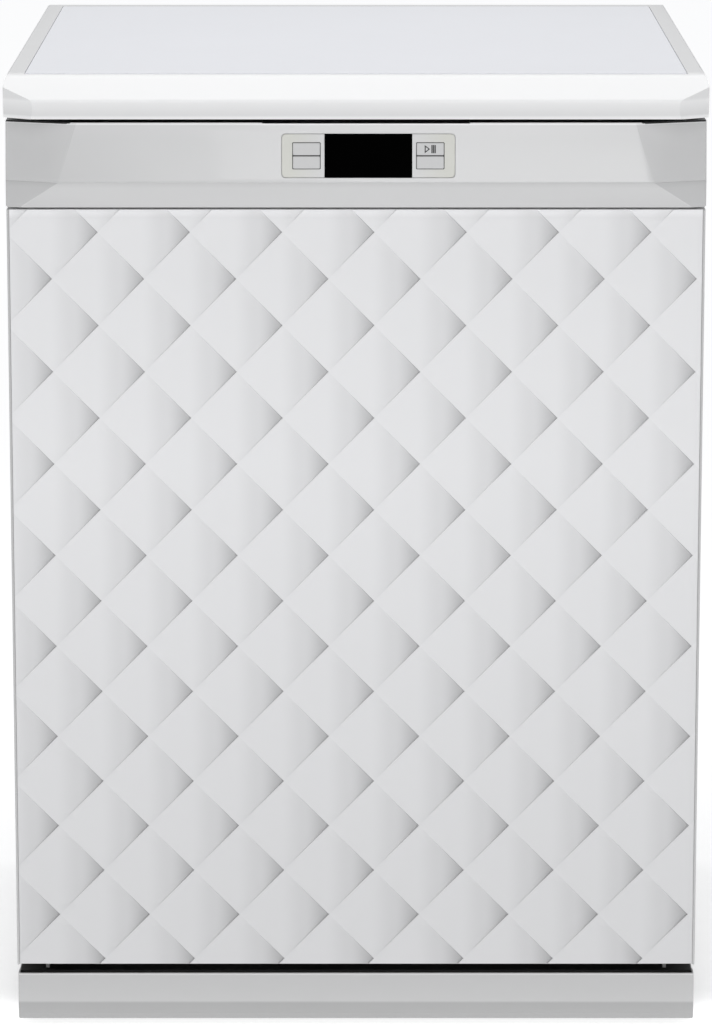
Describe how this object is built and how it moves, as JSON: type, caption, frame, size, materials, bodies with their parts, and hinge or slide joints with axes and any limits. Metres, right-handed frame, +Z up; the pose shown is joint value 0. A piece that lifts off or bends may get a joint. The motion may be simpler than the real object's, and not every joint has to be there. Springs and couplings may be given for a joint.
{
  "type": "dishwasher",
  "caption": "Dishwasher with worktop lid, quilted drop-down door, push-button controls, pull-out baskets, spray arms, filter, dispenser, pumps and levelling feet.",
  "frame": {"origin": "on the floor, under the middle of the plan", "axes": "+Z up, the door faces -Y, +X to the right of someone facing the door"},
  "size_m": [0.6, 0.6, 0.85],
  "materials": {
    "lid_plastic": "smooth white moulding",
    "lid_laminate": "white laminated chipboard",
    "body_paint": "light powder coat",
    "galvanised": "zinc coated sheet",
    "tub_steel": "satin stainless sheet",
    "seal_rubber": "soft rubber",
    "hose_rubber": "smooth rubber hose",
    "base_plastic": "textured moulding",
    "foot_plastic": "matte moulding",
    "spring_steel": "oiled spring wire",
    "rail_steel": "rolled stainless strip",
    "spray_plastic": "grey moulding",
    "pump_plastic": "glass filled moulding",
    "heater_steel": "rolled steel can",
    "white_plastic": "white moulding",
    "cap_blue": "blue moulding",
    "socket_black": "black moulding",
    "circuit_green": "circuit board",
    "decor_white": "quilted white decor panel",
    "fascia_silver": "satin silver grey moulding",
    "plate_cream": "satin warm grey plate",
    "button_grey": "satin grey key",
    "display_black": "black window",
    "dispenser_plastic": "grey moulding",
    "felt": "needled felt",
    "rack_coating": "nylon coated wire",
    "wheel_plastic": "hard moulding",
    "basket_plastic": "grey moulding"
  },
  "bodies": {
    "cabinet": {"base_tray": "base_plastic", "side_panel_left": "body_paint", "side_panel_right": "body_paint", "back_panel": "galvanised", "tub": "tub_steel", "tub_gasket": "seal_rubber", "lower_seal": "seal_rubber", "lid_frame": "lid_plastic", "lid_board": "lid_laminate", "plinth": "body_paint", "top_rail": "galvanised", "door_strike": "galvanised", "hinge_brackets": "galvanised", "door_springs": "spring_steel", "rack_rails": "rail_steel", "sump": "spray_plastic", "circulation_pump": "pump_plastic", "drain_pump": "pump_plastic", "flow_heater": "heater_steel", "inlet_valve": "white_plastic", "water_chamber": "white_plastic", "riser_tube": "spray_plastic", "softener": "white_plastic", "mains_inlet": "socket_black", "power_module": "circuit_green", "hoses": "hose_rubber"},
    "door": {"door_outer_panel": "body_paint", "door_decor_panel": "decor_white", "door_inner_liner": "tub_steel", "control_fascia": "fascia_silver", "control_plate": "plate_cream", "display_window": "display_black", "control_board": "circuit_green", "door_latch": "white_plastic", "dispenser_body": "dispenser_plastic", "hinge_arms": "galvanised", "door_insulation": "felt"},
    "foot_front_left": {"foot_front_left": "foot_plastic"},
    "foot_front_right": {"foot_front_right": "foot_plastic"},
    "foot_rear_left": {"foot_rear_left": "foot_plastic"},
    "foot_rear_right": {"foot_rear_right": "foot_plastic"},
    "button_left_top": {"button_left_top": "button_grey"},
    "button_left_bottom": {"button_left_bottom": "button_grey"},
    "button_right_top": {"button_right_top": "button_grey"},
    "button_right_bottom": {"button_right_bottom": "button_grey"},
    "detergent_lid": {"detergent_lid": "dispenser_plastic"},
    "rinse_cap": {"rinse_cap": "cap_blue"},
    "lower_rack": {"lower_rack": "rack_coating"},
    "folding_tines": {"folding_tines": "rack_coating"},
    "cutlery_basket": {"cutlery_basket": "basket_plastic"},
    "lower_wheels_front": {"lower_wheels_front": "wheel_plastic"},
    "lower_wheels_rear": {"lower_wheels_rear": "wheel_plastic"},
    "upper_rack": {"upper_rack": "rack_coating", "upper_feed_pipe": "spray_plastic"},
    "upper_slides": {"upper_slides": "rail_steel"},
    "cup_shelf": {"cup_shelf": "rack_coating"},
    "upper_spray_arm": {"upper_spray_arm": "spray_plastic"},
    "lower_spray_arm": {"lower_spray_arm": "spray_plastic"},
    "filter": {"filter": "spray_plastic"},
    "salt_cap": {"salt_cap": "cap_blue"}
  },
  "joints": [
    {"name": "door_hinge", "type": "hinge", "parent": "cabinet", "child": "door", "pos_m": [0, -0.265, 0.066], "axis": [1, 0, 0], "range_deg": [0, 90], "stiffness_Nm_per_rad": 20, "deforming": ["door_springs"]},
    {"name": "foot_front_left_screw", "type": "slide", "parent": "cabinet", "child": "foot_front_left", "axis": [0, 0, -1], "range_m": [0, 0.02]},
    {"name": "foot_front_right_screw", "type": "slide", "parent": "cabinet", "child": "foot_front_right", "axis": [0, 0, -1], "range_m": [0, 0.02]},
    {"name": "foot_rear_left_screw", "type": "slide", "parent": "cabinet", "child": "foot_rear_left", "axis": [0, 0, -1], "range_m": [0, 0.02]},
    {"name": "foot_rear_right_screw", "type": "slide", "parent": "cabinet", "child": "foot_rear_right", "axis": [0, 0, -1], "range_m": [0, 0.02]},
    {"name": "button_left_top_press", "type": "slide", "parent": "door", "child": "button_left_top", "axis": [0, 0.9969, -0.079], "range_m": [0, 0.0012], "stiffness_N_per_m": 600},
    {"name": "button_left_bottom_press", "type": "slide", "parent": "door", "child": "button_left_bottom", "axis": [0, 0.9969, -0.079], "range_m": [0, 0.0012], "stiffness_N_per_m": 600},
    {"name": "button_right_top_press", "type": "slide", "parent": "door", "child": "button_right_top", "axis": [0, 0.9969, -0.079], "range_m": [0, 0.0012], "stiffness_N_per_m": 600},
    {"name": "button_right_bottom_press", "type": "slide", "parent": "door", "child": "button_right_bottom", "axis": [0, 0.9969, -0.079], "range_m": [0, 0.0012], "stiffness_N_per_m": 600},
    {"name": "detergent_lid_slide", "type": "slide", "parent": "door", "child": "detergent_lid", "axis": [0, 0, 1], "range_m": [0, 0.05]},
    {"name": "rinse_cap_twist", "type": "hinge", "parent": "door", "child": "rinse_cap", "pos_m": [-0.044, -0.2255, 0.38], "axis": [0, 1, 0], "range_deg": [0, 90]},
    {"name": "lower_rack_slide", "type": "slide", "parent": "cabinet", "child": "lower_rack", "axis": [0, -1, 0], "range_m": [0, 0.173]},
    {"name": "tines_fold", "type": "hinge", "parent": "lower_rack", "child": "folding_tines", "pos_m": [0.018, 0, 0.165], "axis": [0, 1, 0], "range_deg": [0, 85]},
    {"name": "cutlery_lift", "type": "slide", "parent": "lower_rack", "child": "cutlery_basket", "axis": [0, 0, 1], "range_m": [0, 0.09]},
    {"name": "lower_wheels_front_roll", "type": "hinge", "parent": "lower_rack", "child": "lower_wheels_front", "pos_m": [0, -0.083, 0.124], "axis": [1, 0, 0], "continuous": true},
    {"name": "lower_wheels_rear_roll", "type": "hinge", "parent": "lower_rack", "child": "lower_wheels_rear", "pos_m": [0, 0.185, 0.124], "axis": [1, 0, 0], "continuous": true},
    {"name": "upper_rack_slide", "type": "slide", "parent": "cabinet", "child": "upper_rack", "axis": [0, -1, 0], "range_m": [0, 0.45]},
    {"name": "upper_slides_slide", "type": "slide", "parent": "cabinet", "child": "upper_slides", "axis": [0, -1, 0], "range_m": [0, 0.225]},
    {"name": "cup_shelf_flip", "type": "hinge", "parent": "upper_rack", "child": "cup_shelf", "pos_m": [-0.219, 0, 0.516], "axis": [0, -1, 0], "range_deg": [0, 85]},
    {"name": "upper_spray_spin", "type": "hinge", "parent": "upper_rack", "child": "upper_spray_arm", "pos_m": [0, 0.0175, 0.403], "axis": [0, 0, 1], "continuous": true},
    {"name": "lower_spray_spin", "type": "hinge", "parent": "cabinet", "child": "lower_spray_arm", "pos_m": [0, 0.0175, 0.122], "axis": [0, 0, 1], "continuous": true},
    {"name": "filter_twist", "type": "hinge", "parent": "cabinet", "child": "filter", "pos_m": [0.05, -0.0625, 0.096], "axis": [0, 0, 1], "range_deg": [0, 60]},
    {"name": "salt_cap_twist", "type": "hinge", "parent": "cabinet", "child": "salt_cap", "pos_m": [-0.15, -0.0605, 0.096], "axis": [0, 0, 1], "range_deg": [0, 90]}
  ],
  "couplings": [
    {"joint": "upper_rack_slide", "follows": "door_hinge", "m_per_rad": 0.2864},
    {"joint": "upper_slides_slide", "follows": "door_hinge", "m_per_rad": 0.1432},
    {"joint": "lower_rack_slide", "follows": "door_hinge", "m_per_rad": 0.11},
    {"joint": "lower_wheels_front_roll", "follows": "door_hinge", "ratio": 6.1111},
    {"joint": "lower_wheels_rear_roll", "follows": "door_hinge", "ratio": 6.1111}
  ]
}
